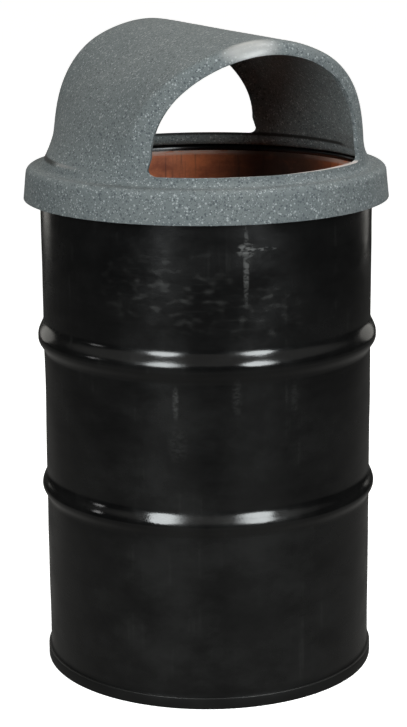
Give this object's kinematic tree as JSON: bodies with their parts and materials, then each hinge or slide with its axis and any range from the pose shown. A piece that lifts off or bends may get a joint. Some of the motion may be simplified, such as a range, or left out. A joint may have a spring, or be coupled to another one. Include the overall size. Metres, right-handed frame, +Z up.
{
  "type": "litter bin",
  "caption": "Open-head steel drum used as a litter bin, with rolling hoops and a push-on moulded hood open at front and rear.",
  "frame": {"origin": "centre of the drum's foot, on the ground", "axes": "+Z up along the drum's axis; the hood's two openings face -Y (front) and +Y (rear)"},
  "size_m": [0.6314, 0.6314, 1.12],
  "materials": {
    "black_enamel": "gloss black enamel, scuffed",
    "seam_rubber": "matt sealing compound",
    "red_lining": "red-brown baked lining",
    "granite_plastic": "speckled grey, lightly textured"
  },
  "bodies": {
    "drum": {"drum_shell": "black_enamel", "bottom_head": "black_enamel", "seam_compound": "seam_rubber", "interior_lining": "red_lining"},
    "hood": {"hood": "granite_plastic"}
  },
  "joints": [
    {"name": "hood_lift", "type": "slide", "parent": "drum", "child": "hood", "axis": [0, 0, 1], "range_m": [0, 0.3]}
  ]
}
